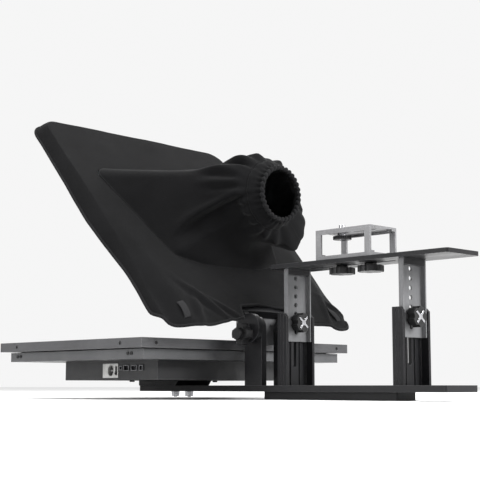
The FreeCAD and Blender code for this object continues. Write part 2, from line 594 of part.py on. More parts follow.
# ---- tilting glass and hood ------------------------------------------------------
def make_hinge():
    cheek_in = PLATE_HALF + CHEEK_GAP
    cheek_out = cheek_in + CHEEK_T
    plate_y = (UPRIGHT_Y[1] + 4.9, UPRIGHT_Y[1] + 8.9)
    screws = Screws()
    for side in (-1, 1):
        x_mid = side * (cheek_in + CHEEK_T / 2)
        for z in (100.0, 122.0):
            screws.put((x_mid, plate_y[1] - 2.5, z), Vector(0, -1, 0), 1.8, 10.0, 3.2, 2.5)
    for name, side in (("left_hinge_cheek", -1), ("right_hinge_cheek", 1)):
        x0, x1 = sorted((side * cheek_in, side * cheek_out))
        disc = rod(CHEEK_R, (x0, PIVOT_Y, PIVOT_Z), X_AXIS, CHEEK_T)
        arm = hood_place(box(x0, x1, -4.0, GLASS_S[0] - RAIL_W / 2, -17.0, -1.0))
        lug = box(x0, x1, PIVOT_Y, plate_y[0], LUG_Z[0], LUG_Z[1])
        cheek = fuse([disc, arm, lug])
        cheek = cheek.cut(rod(4.05, (x0, PIVOT_Y, PIVOT_Z), X_AXIS, CHEEK_T))
        if side < 0:
            cheek = cheek.cut(lock_slot(x0))
        add(name, screws.clear(cheek))
    cross = box(-cheek_out, cheek_out, plate_y[0], plate_y[1], CROSS_PLATE_Z[0], CROSS_PLATE_Z[1])
    add("hinge_cross_plate", screws.clear(cross))
    group("hinge_screws", screws.solids)

    stud = rod(3.0, (-74.0, PIVOT_Y, PIVOT_Z - LOCK_DROP), X_AXIS, 42.0)
    out = Vector(-1, 0, 0)
    boss = rod(4.4, (-cheek_out - 0.4, PIVOT_Y, PIVOT_Z - LOCK_DROP), out, 6.0)
    grip = lobed_knob(17.0, (-cheek_out - 6.4, PIVOT_Y, PIVOT_Z - LOCK_DROP), out, 14.0, 4, 8.5)
    hub = rod(9.0, (-cheek_out - 6.4, PIVOT_Y, PIVOT_Z - LOCK_DROP), out, 21.0)
    add("tilt_lock_knob", fuse([stud, boss, grip, hub]))


def lock_slot(x0):
    """Arc slot for the lock stud, as wide as the tilt needs."""
    steps = 6
    reach = TILT_DEG + 2.0
    cutters = []
    for index in range(steps + 1):
        angle = math.radians(-90.0 - reach + 2.0 * reach * index / steps)
        y = PIVOT_Y + LOCK_DROP * math.cos(angle)
        z = PIVOT_Z + LOCK_DROP * math.sin(angle)
        cutters.append(rod(3.3, (x0, y, z), X_AXIS, CHEEK_T))
    return fuse(cutters)


def make_glass():
    """Trapezoid beamsplitter glass held by four grooved rails."""
    s0, s1 = GLASS_S
    half_w = RAIL_W / 2
    slope = (RAIL_X[1] - RAIL_X[0]) / (s1 - s0)
    lean = half_w * math.sqrt(1 + slope * slope)
    depth = (-RAIL_D - 0.3, -0.3)

    def x_at(s, offset):
        return RAIL_X[0] + slope * (s - s0) + offset

    bite = half_w - GLASS_BITE
    low, high = s0 + bite, s1 - bite
    face = depth[0] + (RAIL_D - GLASS_T) / 2
    glass = prism([(-x_at(low, -bite), low, face), (x_at(low, -bite), low, face),
                   (x_at(high, -bite), high, face), (-x_at(high, -bite), high, face)],
                  Vector(0, 0, GLASS_T))
    rails = {}
    low, high = s0 - half_w, s1 + half_w
    height = Vector(0, 0, RAIL_D)
    for name, side in (("glass_left_rail", -1), ("glass_right_rail", 1)):
        outline = [(side * x_at(low, -lean), low, depth[0]), (side * x_at(low, lean), low, depth[0]),
                   (side * x_at(high, lean), high, depth[0]), (side * x_at(high, -lean), high, depth[0])]
        rails[name] = prism(outline, height)
    for name, s in (("glass_bottom_rail", s0), ("glass_top_rail", s1)):
        a, b = s - half_w, s + half_w
        outline = [(-x_at(a, -lean), a, depth[0]), (x_at(a, -lean), a, depth[0]),
                   (x_at(b, -lean), b, depth[0]), (-x_at(b, -lean), b, depth[0])]
        rails[name] = prism(outline, height)
    for name, rail in rails.items():
        add(name, hood_place(rail.cut(glass)))
    add("beamsplitter_glass", hood_place(glass))


def make_hood():
    """Hood face with its turned-forward rim, the rear shroud and the lens cuff."""
    half = HOOD_HALF
    lower = [(82.0, -6.0, 6.0), (180.0, -20.0, 60.0), (half, -6.0, 18.0)]
    right = [(62.0, 46.0, 20.0)] + lower + [(half, HOOD_TOP_S, 30.0)]
    left = [(-x, s, r) for x, s, r in reversed(right)]
    outline = right + left
    inset = FABRIC_T
    inner = [(half - inset, -60.0, 1.0), (half - inset, HOOD_TOP_S - inset, 26.0),
             (-half + inset, HOOD_TOP_S - inset, 26.0), (-half + inset, -60.0, 1.0)]
    body = rounded_prism(outline, -HOOD_RIM_D, FABRIC_T)
    body = body.cut(rounded_prism(inner, -HOOD_RIM_D, 0))
    mouth = mouth_corners(0.0)
    body = body.cut(rounded_prism(mouth, -1.0, FABRIC_T + 1.0))
    add("hood_face", hood_place(body))

    outer = shroud_solid(FABRIC_T, SHROUD_END_R)
    inner = shroud_solid(0.0, SHROUD_END_R - FABRIC_T)
    add("hood_shroud", outer.cut(inner))
    ring = Vector(0, LENS_Y, LENS_Z)
    back = Vector(0, -1, 0)
    cuff = Part.makeCone(SHROUD_END_R, CUFF_R, CUFF_L, ring, back)
    bore = Part.makeCone(SHROUD_END_R - FABRIC_T, CUFF_R - FABRIC_T, CUFF_L, ring, back)
    add("lens_cuff", cuff.cut(bore))


def mouth_corners(grow):
    """Trapezoid window of the hood face, as (x, s, radius), grown outwards."""
    (s0, s1), (x0, x1) = MOUTH_S, MOUTH_X
    return [(-x0 - grow, s0 - grow, 30.0 + grow), (x0 + grow, s0 - grow, 30.0 + grow),
            (x1 + grow, s1 + grow, 30.0 + grow), (-x1 - grow, s1 + grow, 30.0 + grow)]


def shroud_solid(grow, end_radius):
    """Solid loft from the mouth of the hood face back to a circle about the lens."""
    mouth = hood_place(rounded_wire(mouth_corners(grow), FABRIC_T))
    edges = []
    for edge in mouth.Edges:
        vertices = (edge.firstVertex(True), edge.lastVertex(True))
        ends = [circle_point(vertex.Point, end_radius) for vertex in vertices]
        start, end = [math.atan2(p.z - LENS_Z, p.x) for p in ends]
        turn = (end - start + math.pi) % (2 * math.pi) - math.pi
        middle = start + turn / 2
        halfway = Vector(end_radius * math.cos(middle), LENS_Y, LENS_Z + end_radius * math.sin(middle))
        edges.append(Part.Arc(ends[0], halfway, ends[1]).toShape())
    ring = Part.Wire(edges)
    return Part.makeLoft([mouth, ring], True, True)


def circle_point(point, radius):
    """Point of the lens circle in the direction of a point on the mouth."""
    mouth_mid_z = HOOD_ORIGIN.z + (MOUTH_S[0] + MOUTH_S[1]) / 2 / math.sqrt(2)
    angle = math.atan2((point.z - mouth_mid_z) * 1.5, point.x)
    return Vector(radius * math.cos(angle), LENS_Y, LENS_Z + radius * math.sin(angle))


# ---- write every node ---------------------------------------------------------
make_base()
make_platform()
make_cradle()
make_monitor()
make_hinge()
make_glass()
make_hood()

os.makedirs("parts", exist_ok=True)
for stale in os.listdir("parts"):
    os.remove(os.path.join("parts", stale))
for name, shape in parts.items():
    solids = shape.Solids
    if not shape.isValid() or not solids:
        raise RuntimeError(name + " is not a valid solid")
    out = solids[0] if len(solids) == 1 else Part.makeCompound(solids)
    out.exportStep("parts/" + name + ".step")
    size = out.BoundBox
    print(f"{name:26s} {len(solids)} {size.XMin:8.1f} {size.XMax:8.1f} {size.YMin:8.1f} {size.YMax:8.1f}"
          f" {size.ZMin:8.1f} {size.ZMax:8.1f} {out.Volume / 1000:9.1f}")
print(len(parts), "nodes")
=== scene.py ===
import math

import bpy
import numpy as np
from mathutils import Matrix, Vector, noise


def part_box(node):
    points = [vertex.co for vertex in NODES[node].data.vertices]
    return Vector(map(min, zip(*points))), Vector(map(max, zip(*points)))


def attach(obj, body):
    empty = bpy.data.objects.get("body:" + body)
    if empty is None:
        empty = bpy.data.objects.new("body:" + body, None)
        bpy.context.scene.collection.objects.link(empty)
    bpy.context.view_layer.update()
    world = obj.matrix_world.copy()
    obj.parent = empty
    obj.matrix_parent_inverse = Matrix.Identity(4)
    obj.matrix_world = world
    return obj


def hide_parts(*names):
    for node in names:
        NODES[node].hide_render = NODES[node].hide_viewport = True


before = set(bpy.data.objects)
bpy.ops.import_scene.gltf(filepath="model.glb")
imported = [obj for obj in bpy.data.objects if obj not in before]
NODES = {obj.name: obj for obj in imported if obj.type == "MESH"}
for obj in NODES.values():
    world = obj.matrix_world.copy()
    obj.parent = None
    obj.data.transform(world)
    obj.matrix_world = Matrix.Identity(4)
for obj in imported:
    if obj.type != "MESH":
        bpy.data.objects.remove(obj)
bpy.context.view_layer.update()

MM = 0.001
ROOT2 = math.sqrt(2.0)

# ---- the hood's own axes: x, s up the 45 degree slope, n towards the talent ----
RAIL_LOW_S, RAIL_HIGH_S = 27.0, 41.0        # bottom glass rail's edges along s, mm
RAIL_N = 0.3                 # the rail's near side along n, mm
rail_low, rail_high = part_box("glass_bottom_rail")
HOOD_Y = rail_low.y / MM - (RAIL_LOW_S + RAIL_N) / ROOT2
HOOD_Z = rail_high.z / MM - (RAIL_HIGH_S - RAIL_N) / ROOT2

# ---- driving dimensions of the fabric, mm unless said otherwise ----
TOP_S = 487.0                # top edge of the face, along s
WALL_D = 21.0                # how far the side walls turn towards the talent
WIRE_R = 2.4                 # spring wire in the hem
PIPING_R = 1.1               # piping round the mouth
HEM_TUBE_R = 3.0             # rolled elastic hem at the lens
CLOTH_T = 1.1
MOUTH_N = -3.0               # where the shroud starts, beside the face
RING_R = 52.0                # where the shroud is sewn to the cuff
CUFF_R = 42.0
CUFF_DROP = 4.0              # the cuff's cloth ends this far inside the cuff's box
CUFF_GATHERS = 31            # gathers round the cuff
LENS_GATHERS = 19            # gathers round the shroud's end
WEAVE = 1300.0               # threads per metre
SHROUD_RUN = 0.24            # length of the shroud's cloth, metres
CUFF_RUN = 0.03              # length of the cuff's cloth, metres
SIDE_COUNT = 110             # mesh points on each of the four sides of a ring
RING_POINTS = 4 * SIDE_COUNT
FACE_ROWS = 34
WALL_ROWS = 12
SHROUD_ROWS = 84
CUFF_ROWS = 16
# directions on the lens ring of the mouth's corners, degrees, counted from the right
CORNER_DEGREES = (-38.0, 42.0, 138.0, 218.0, 322.0)
# creases where the face is slack over the skirt: side, x, s, lean, depth
FACE_CREASES = ((-1, 124, 40, 0.55, 6.5), (-1, 150, 22, -0.35, 4.5), (1, 150, 40, 0.45, 6.0),
                (1, 186, 30, -0.5, 4.5), (-1, 98, 26, 0.9, 3.5))
CREASE_REACH = 34.0
# folds that run into the lens ring: direction, lean, height, width; degrees and mm
LENS_FOLDS = ((150.0, -16.0, 7.0, 6.0), (128.0, -22.0, 6.0, 5.0), (166.0, -8.0, 5.0, 5.0),
              (62.0, 12.0, 6.0, 7.0), (-24.0, 20.0, 5.0, 8.0), (-52.0, 8.0, 5.0, 8.0),
              (-75.0, -6.0, 4.0, 7.0))
RIDGE_CLIMB = 37.0           # how far the two lower ridges climb towards the flanks, degrees
SAG_DEGREES = -32.0          # middle of the loose cloth under the right of the lens ring
SAG_DEPTH = 54.0             # how far that cloth hangs out

cuff_low, cuff_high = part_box("lens_cuff")
RING_Z = (cuff_low.z + cuff_high.z) / 2 / MM
RING_Y = cuff_high.y / MM
CUFF_Y = cuff_low.y / MM


def hood_point(x, s, n):
    """Point in metres from the hood's own axes in mm."""
    return Vector((x, HOOD_Y + (s + n) / ROOT2, HOOD_Z + (s - n) / ROOT2)) * MM


def smooth(low, high, value):
    """0 below low, 1 above high, with an eased change between."""
    share = min(1.0, max(0.0, (value - low) / (high - low)))
    return share * share * (3 - 2 * share)


def ripple(x, y, z, size, seed=0.0):
    """Soft noise from -1 to 1 with features of about that size."""
    return noise.noise(Vector((x / size + seed, y / size - seed, z / size + 2 * seed)))


# ---- materials ---------------------------------------------------------------
def node(tree, kind, inputs=None, **settings):
    """Adds a shader node; inputs maps socket names or numbers to values or sockets."""
    made = tree.nodes.new(kind)
    for key, value in settings.items():
        setattr(made, key, value)
    for key, value in (inputs or {}).items():
        if isinstance(value, bpy.types.NodeSocket):
            tree.links.new(value, made.inputs[key])
        else:
            made.inputs[key].default_value = value
    return made


def math_node(tree, operation, first, second=0.5):
    """One sum, product or function of one or two values."""
    made = node(tree, "ShaderNodeMath", {0: first, 1: second}, operation=operation)
    return made.outputs[0]


def new_material(name, **values):
    """A principled material; values are the shader's plain numbers."""
    material = bpy.data.materials.new(name)
    material.use_nodes = True
    tree = material.node_tree
    tree.nodes.clear()
    shader = node(tree, "ShaderNodeBsdfPrincipled")
    output = node(tree, "ShaderNodeOutputMaterial")
    tree.links.new(shader.outputs[0], output.inputs[0])
    for key, value in values.items():
        shader.inputs[key.replace("_", " ")].default_value = value
    return material, tree, shader


def object_coords(tree, scale=(1, 1, 1)):
    """The object's own coordinates, scaled along each axis."""
    source = node(tree, "ShaderNodeTexCoord").outputs["Object"]
    return node(tree, "ShaderNodeMapping", {"Vector": source, "Scale": scale}).outputs[0]


def noise_fac(tree, vector, scale, detail=3.0, rough=0.5):
    """Noise from 0 to 1, with scale in features per metre."""
    inputs = {"Vector": vector, "Scale": scale, "Detail": detail, "Roughness": rough}
    return node(tree, "ShaderNodeTexNoise", inputs).outputs[0]


def ramp(tree, fac, low, high, low_at=0.3, high_at=0.7):
    """Colour ramp between two colours."""
    made = node(tree, "ShaderNodeValToRGB", {0: fac})
    ends = made.color_ramp.elements
    ends[0].position, ends[1].position = low_at, high_at
    ends[0].color = (*low, 1)
    ends[1].color = (*high, 1)
    return made.outputs[0]


def remap(tree, fac, low, high):
    """Spreads a noise's middle half over low to high."""
    return node(tree, "ShaderNodeMapRange", {0: fac, 1: 0.25, 2: 0.75, 3: low, 4: high}).outputs[0]


def bump(tree, shader, strength, distance, height, normal=None):
    """Relief on the shader's normal."""
    relief = {"Strength": strength, "Distance": distance, "Height": height}
    if normal is not None:
        relief["Normal"] = normal
    tree.links.new(node(tree, "ShaderNodeBump", relief).outputs[0], shader.inputs["Normal"])


def multiplied(tree, base, fac):
    """A colour darkened by a grey value."""
    grey = node(tree, "ShaderNodeCombineColor", {0: fac, 1: fac, 2: fac}).outputs[0]
    mixed = node(tree, "ShaderNodeMix", {0: 1.0, 6: base, 7: grey}, data_type="RGBA",
                 blend_type="MULTIPLY")
    return mixed.outputs[2]


def edge_mask(tree, radius):
    """About 1 on edges, and the rounded normal that goes with it."""
    rounded = node(tree, "ShaderNodeBevel", {"Radius": radius}, samples=6).outputs[0]
    flat = node(tree, "ShaderNodeNewGeometry").outputs["Normal"]
    dot = node(tree, "ShaderNodeVectorMath", {0: rounded, 1: flat}, operation="DOT_PRODUCT")
    inputs = {0: dot.outputs["Value"], 1: 0.995, 2: 0.86, 3: 0.0, 4: 1.0}
    return node(tree, "ShaderNodeMapRange", inputs).outputs[0], rounded


def metal(name, colour, rough, streak=(1, 1, 1), wear_and_highlight_colour=(0.35, 0.35, 0.36), wear_and_highlight_share=0.5,
          metallic=0.0, relief=0.10, edge=0.0005, specular=0.5):
    """Anodised, painted or turned metal with grain and smudges; its edges are lightened, partly as
    wear and partly as a painted edge highlight.
    """
    material, tree, shader = new_material(name, Metallic=metallic, Specular_IOR_Level=specular)
    coords = object_coords(tree)
    drawn = object_coords(tree, streak)
    cloud = noise_fac(tree, coords, 14.0, 5.0, 0.6)
    grain = noise_fac(tree, drawn, 900.0, 2.0)
    smudge = noise_fac(tree, drawn, 60.0, 4.0, 0.65)
    deep = tuple(0.72 * c for c in colour)
    pale = tuple(1.30 * c + 0.003 for c in colour)
    base = ramp(tree, math_node(tree, "ADD", math_node(tree, "MULTIPLY", cloud, 0.6),
                                math_node(tree, "MULTIPLY", grain, 0.4)), deep, pale)
    # Edges lighten towards the wear colour where the smudge noise allows: partly wear, partly a
    # painted edge highlight.
    edge_fac, rounded = edge_mask(tree, edge)
    chips_and_painted_highlight = math_node(tree, "MULTIPLY", edge_fac, remap(tree, smudge, 0.15, wear_and_highlight_share))
    mixed = node(tree, "ShaderNodeMix", {0: chips_and_painted_highlight, 6: base, 7: (*wear_and_highlight_colour, 1)}, data_type="RGBA")
    tree.links.new(mixed.outputs[2], shader.inputs["Base Color"])
    variation = math_node(tree, "ADD", remap(tree, smudge, rough - 0.07, rough + 0.09),
                          remap(tree, grain, -0.03, 0.03))
    tree.links.new(variation, shader.inputs["Roughness"])
    bump(tree, shader, relief, 0.0002, grain, rounded)
    return material


def plastic(name, colour, rough, grain_scale=1600.0, relief=0.25, specular=0.4):
    """Moulded plastic or rubber with a fine spark-eroded grain, handling marks, and painted shade
    in its corners and recesses.
    """
    material, tree, shader = new_material(name, Specular_IOR_Level=specular)
    coords = object_coords(tree)
    grain = node(tree, "ShaderNodeTexVoronoi", {"Vector": coords, "Scale": grain_scale}).outputs[0]
    marks = noise_fac(tree, coords, 90.0, 5.0, 0.65)
    deep = tuple(0.75 * c for c in colour)
    pale = tuple(1.35 * c + 0.003 for c in colour)
    # Painted shade: ambient occlusion darkens the colour in corners, recesses and between parts.
    corners = node(tree, "ShaderNodeAmbientOcclusion", {"Distance": 0.007}, samples=6).outputs["AO"]
    shade = math_node(tree, "POWER", corners, 2.2)
    colour_with_painted_shade = multiplied(tree, ramp(tree, marks, deep, pale), shade)
    tree.links.new(colour_with_painted_shade, shader.inputs["Base Color"])
    tree.links.new(remap(tree, marks, rough - 0.08, rough + 0.1), shader.inputs["Roughness"])
    _, rounded = edge_mask(tree, 0.0005)
    bump(tree, shader, relief, 0.0001, grain, rounded)
    return material


def cloth(name, colour, threads, rough=0.92, relief=0.5):
    """Plain weave in UV metres: over and under threads, slubs, lint and faded folds."""
    material, tree, shader = new_material(name, Specular_IOR_Level=0.07, Sheen_Weight=0.035,
                                          Sheen_Roughness=0.45)
    uv = node(tree, "ShaderNodeUVMap", uv_map="cloth").outputs[0]
    parts = node(tree, "ShaderNodeSeparateXYZ", {0: uv})
    turn = threads * math.pi
    warp = math_node(tree, "SINE", math_node(tree, "MULTIPLY", parts.outputs[0], turn))
    weft = math_node(tree, "SINE", math_node(tree, "MULTIPLY", parts.outputs[1], turn))
    cross = math_node(tree, "MULTIPLY", warp, weft)
    rounds = math_node(tree, "ADD", math_node(tree, "ABSOLUTE", warp),
                       math_node(tree, "ABSOLUTE", weft))
    weave = math_node(tree, "ADD", math_node(tree, "MULTIPLY", cross, 0.6), rounds)
    coords = object_coords(tree)
    slub_uv = node(tree, "ShaderNodeMapping", {"Vector": uv, "Scale": (30.0, 900.0, 1.0)})
    slub = noise_fac(tree, slub_uv.outputs[0], 1.0, 2.0)
    cloud = noise_fac(tree, coords, 11.0, 5.0, 0.6)
    lint = noise_fac(tree, coords, 420.0, 2.0, 0.8)
    tone = math_node(tree, "ADD", math_node(tree, "MULTIPLY", cloud, 0.55),
                     math_node(tree, "MULTIPLY", slub, 0.45))
    deep = tuple(0.62 * c for c in colour)
    pale = tuple(1.5 * c for c in colour)
    base = ramp(tree, tone, deep, pale)
    shade = math_node(tree, "MULTIPLY", remap(tree, weave, 0.62, 1.12),
                      remap(tree, lint, 0.9, 1.15))
    tree.links.new(multiplied(tree, base, shade), shader.inputs["Base Color"])
    tree.links.new(remap(tree, slub, rough - 0.08, rough + 0.05), shader.inputs["Roughness"])
    height = math_node(tree, "ADD", weave, math_node(tree, "MULTIPLY", slub, 0.8))
    bump(tree, shader, relief, 0.00015, height)
    return material


def screen_material():
    """Anti-glare panel face: a fine sparkle, faint dust and a cool black."""
    material, tree, shader = new_material("screen_antiglare", Specular_IOR_Level=0.5,
                                          Coat_Weight=0.25, Coat_Roughness=0.25)
    coords = object_coords(tree)
    sparkle = node(tree, "ShaderNodeTexVoronoi", {"Vector": coords, "Scale": 2500.0}).outputs[0]
    dust = noise_fac(tree, coords, 35.0, 6.0, 0.7)
    black = ramp(tree, dust, (0.006, 0.007, 0.009), (0.016, 0.017, 0.020))
    tree.links.new(black, shader.inputs["Base Color"])
    tree.links.new(remap(tree, dust, 0.24, 0.36), shader.inputs["Roughness"])
    bump(tree, shader, 0.08, 0.0001, sparkle)
    return material


def glass_material():
    """Beamsplitter glass: clear, with a partly reflecting coating and faint wipe marks."""
    material, tree, shader = new_material("beamsplitter_coating", IOR=1.52, Coat_Weight=0.6,
                                          Transmission_Weight=0.72, Specular_IOR_Level=0.9)
    coords = object_coords(tree, (1, 1, 0.3))
    wipes = noise_fac(tree, coords, 30.0, 5.0, 0.6)
    tint = ramp(tree, wipes, (0.50, 0.56, 0.58), (0.60, 0.66, 0.68))
    tree.links.new(tint, shader.inputs["Base Color"])
    tree.links.new(remap(tree, wipes, 0.02, 0.06), shader.inputs["Roughness"])
    return material


def board_material():
    """Green solder mask with copper tracks under it."""
    material, tree, shader = new_material("circuit_board_mask", Specular_IOR_Level=0.5)
    coords = object_coords(tree, (1, 1, 0.01))
    pattern = {"Vector": coords, "Scale": 120.0, "Mortar Size": 0.06,
               "Color1": (0.010, 0.075, 0.030, 1), "Color2": (0.008, 0.060, 0.024, 1),
               "Mortar": (0.030, 0.130, 0.055, 1)}
    tracks = node(tree, "ShaderNodeTexBrick", pattern)
    grime = noise_fac(tree, coords, 200.0, 3.0)
    tree.links.new(tracks.outputs[0], shader.inputs["Base Color"])
    tree.links.new(remap(tree, grime, 0.3, 0.45), shader.inputs["Roughness"])
    bump(tree, shader, 0.3, 0.0001, tracks.outputs["Fac"])
    return material


def webbing_material():
    """Ribbed webbing for the hem's tabs."""
    material, tree, shader = new_material("webbing", Specular_IOR_Level=0.15, Sheen_Weight=0.03)
    uv = node(tree, "ShaderNodeUVMap", uv_map="cloth").outputs[0]
    ribs = node(tree, "ShaderNodeTexWave", {"Vector": uv, "Scale": 160.0, "Distortion": 0.6})
    shade = ramp(tree, ribs.outputs[1], (0.006, 0.006, 0.0065), (0.018, 0.018, 0.019))
    tree.links.new(shade, shader.inputs["Base Color"])
    tree.links.new(remap(tree, ribs.outputs[1], 0.7, 0.9), shader.inputs["Roughness"])
    bump(tree, shader, 0.7, 0.0003, ribs.outputs[1])
    return material


# A metal's fourth value is the colour its edges lighten to, as wear and as a painted edge
# highlight.
MATERIALS = {
    "plate": metal("black_anodised_plate", (0.009, 0.009, 0.01), 0.38, (1.0, 0.12, 1.0),
                   specular=0.2),
    "extrusion": metal("black_anodised_extrusion", (0.009, 0.009, 0.01), 0.33, (1.0, 1.0, 0.06),
                       specular=0.14),
    "bar": metal("grey_anodised_bar", (0.125, 0.126, 0.13), 0.36, (1.0, 1.0, 0.06),
                 (0.45, 0.45, 0.46), metallic=0.1, specular=0.25),
    "cradle": metal("grey_anodised_cradle", (0.18, 0.18, 0.185), 0.38, (0.3, 1.0, 1.0),
                    (0.6, 0.6, 0.6), metallic=0.45, specular=0.4),
    "bright": metal("turned_steel", (0.50, 0.50, 0.52), 0.24, (1.0, 1.0, 0.2), (0.8, 0.8, 0.8),
                    metallic=1.0),
    "socket": metal("nickel_socket", (0.13, 0.13, 0.135), 0.30, metallic=0.9, wear_and_highlight_share=0.8),
    "fastener": metal("black_oxide_screw", (0.007, 0.007, 0.008), 0.34, (1, 1, 1), (0.2, 0.2, 0.2),
                      specular=0.3),
    "frame": metal("brushed_monitor_frame", (0.058, 0.058, 0.061), 0.36, (0.08, 1.0, 1.0),
                   (0.5, 0.5, 0.5), metallic=0.35, edge=0.0006),
    "chassis": metal("satin_monitor_chassis", (0.068, 0.069, 0.072), 0.42, metallic=0.25),
    "housing": metal("powder_coated_housing", (0.016, 0.016, 0.017), 0.46, relief=0.35,
                     specular=0.35),
    "knob": plastic("knob_plastic_grain", (0.006, 0.006, 0.0065), 0.42, specular=0.3),
    "inlet": plastic("inlet_bezel_plastic", (0.42, 0.42, 0.41), 0.40, relief=0.12),
    "rubber": plastic("rubber_foot", (0.012, 0.012, 0.012), 0.80, 900.0, 0.4, 0.2),
    "screen": screen_material(),
    "glass": glass_material(),
    "board": board_material(),
    "cloth": cloth("hood_cloth", (0.0036, 0.0036, 0.0039), WEAVE),
    "binding": cloth("hood_binding_tape", (0.0075, 0.0075, 0.008), 1100.0, 0.85, 0.7),
    "thread": cloth("stitching_thread", (0.045, 0.045, 0.048), 2600.0, 0.8, 0.4),
    "webbing": webbing_material(),
}
NODE_LOOKS = {
    "plate": ["tripod_plate", "base_plate", "camera_plate", "monitor_mount_plate",
              "bar_head_blocks", "left_hinge_upright", "right_hinge_upright", "left_hinge_cheek",
              "right_hinge_cheek", "glass_left_rail", "glass_right_rail", "glass_bottom_rail",
              "glass_top_rail", "camera_screw_wheel"],
    "extrusion": ["rear_riser_channel", "front_riser_channel"],
    "bar": ["rear_riser_bar", "front_riser_bar", "hinge_cross_plate"],
    "cradle": ["cradle_base", "cradle_top", "cradle_left_side", "cradle_right_side"],
    "bright": ["rear_riser_stud", "front_riser_stud", "rear_cradle_stud", "front_cradle_stud",
               "camera_screw", "mount_studs", "rear_thumb_nut", "front_thumb_nut"],
    "socket": ["signal_connectors"],
    "fastener": ["base_screws", "platform_screws", "cradle_screws", "frame_screws", "hinge_screws",
                 "pivot_bolts", "pivot_nuts", "riser_clamp_nuts"],
    "frame": ["monitor_frame"],
    "chassis": ["lcd_chassis"],
    "housing": ["electronics_housing", "electronics_cover"],
    "knob": ["rear_riser_knob", "front_riser_knob", "rear_cradle_knob", "front_cradle_knob",
             "tilt_lock_knob", "mains_switch"],
    "inlet": ["mains_inlet"],
    "rubber": ["housing_feet"],
    "screen": ["lcd_panel"],
    "glass": ["beamsplitter_glass"],
    "board": ["power_board", "controller_board"],
}


def paint(obj, look):
    """Gives an object one material in every slot."""
    if not obj.data.materials:
        obj.data.materials.append(MATERIALS[look])
    for index in range(len(obj.material_slots)):
        obj.material_slots[index].material = MATERIALS[look]


for look_name, members in NODE_LOOKS.items():
    for member in members:
        paint(NODES[member], look_name)


def round_edges(names, width, segments):
    """Real rounded edges on the frame's own meshes, as modifiers."""
    for name in names:
        obj = NODES[name]
        weld = obj.modifiers.new("weld", "WELD")
        weld.merge_threshold = 0.00001
        flat = obj.modifiers.new("flat", "DECIMATE")
        flat.decimate_type = "DISSOLVE"
        flat.angle_limit = math.radians(1.0)
        bevel = obj.modifiers.new("round", "BEVEL")
        bevel.width = width
        bevel.segments = segments
        bevel.limit_method = "ANGLE"
        bevel.angle_limit = math.radians(40.0)
        bevel.use_clamp_overlap = True
        shade = obj.modifiers.new("shade", "WEIGHTED_NORMAL")
        shade.keep_sharp = True


EDGE_ROUNDS = (
    (0.0007, 2, ["tripod_plate", "camera_plate", "base_plate"]),
    (0.0005, 2, ["left_hinge_upright", "right_hinge_upright", "cradle_base", "cradle_top"]),
    (0.0003, 2, ["rear_riser_channel", "front_riser_channel", "rear_riser_bar",
                 "front_riser_bar"]),
    (0.0006, 2, ["monitor_frame", "lcd_chassis", "electronics_housing", "hinge_cross_plate"]),
    (0.0009, 3, ["rear_riser_knob", "front_riser_knob", "rear_cradle_knob",
                 "front_cradle_knob"]),
    (0.0006, 2, ["tilt_lock_knob", "camera_screw_wheel", "mains_inlet",
                 "monitor_mount_plate"]),
    (0.0005, 2, ["left_hinge_cheek", "right_hinge_cheek", "cradle_left_side",
                 "cradle_right_side"]),
    (0.0005, 2, ["glass_left_rail", "glass_right_rail", "glass_bottom_rail",
                 "glass_top_rail"]),
)
for edge_width, edge_segments, members in EDGE_ROUNDS:
    round_edges(members, edge_width, edge_segments)


# ---- mesh helpers ---------------------------------------------------------------
def make_object(name, verts, faces, look, uvs):
    """Mesh object from points in metres; uvs are per point, in metres of cloth."""
    mesh = bpy.data.meshes.new(name)
    mesh.from_pydata([tuple(v) for v in verts], [], faces)
    mesh.update()
    layer = mesh.uv_layers.new(name="cloth")
    for loop in mesh.loops:
        layer.data[loop.index].uv = uvs[loop.vertex_index]
    obj = bpy.data.objects.new(name, mesh)
    bpy.context.scene.collection.objects.link(obj)
    for polygon in mesh.polygons:
        polygon.use_smooth = True
    paint(obj, look)
    return obj


def ring_faces(rows, count, flip=False):
    """Quads that join closed rows of count points each."""
    faces = []
    for row in range(rows - 1):
        here, there = row * count, (row + 1) * count
        for index in range(count):
            after = (index + 1) % count
            quad = (here + index, here + after, there + after, there + index)
            faces.append(tuple(reversed(quad)) if flip else quad)
    return faces


def grid_object(name, rows, flip, uvs):
    """Cloth object from closed rows of points."""
    verts = [point for line in rows for point in line]
    return make_object(name, verts, ring_faces(len(rows), RING_POINTS, flip), "cloth", uvs)


def modifier(obj, kind, **settings):
    """Adds a modifier with these settings."""
    made = obj.modifiers.new(kind.lower(), kind)
    for key, value in settings.items():
        setattr(made, key, value)
    return made


def tube(name, points, radius, look, sides):
    """Closed round tube along points, with frames carried from one point to the next."""
    count = len(points)
    verts, uvs = [], []
    run = 0.0
    side = None
    for index, point in enumerate(points):
        along = (points[(index + 1) % count] - points[index - 1]).normalized()
        if side is None:
            side = along.orthogonal().normalized()
        side = (side - along * side.dot(along)).normalized()
        up = along.cross(side)
        run += (point - points[index - 1]).length if index else 0.0
        for k in range(sides):
            angle = 2 * math.pi * k / sides
            verts.append(point + (side * math.cos(angle) + up * math.sin(angle)) * radius)
            uvs.append((run, radius * angle))
    last = (count - 1) * sides
    faces = ring_faces(count, sides, True)
    faces += [(k, (k + 1) % sides, last + (k + 1) % sides, last + k) for k in range(sides)]
    return make_object(name, verts, faces, look, uvs)


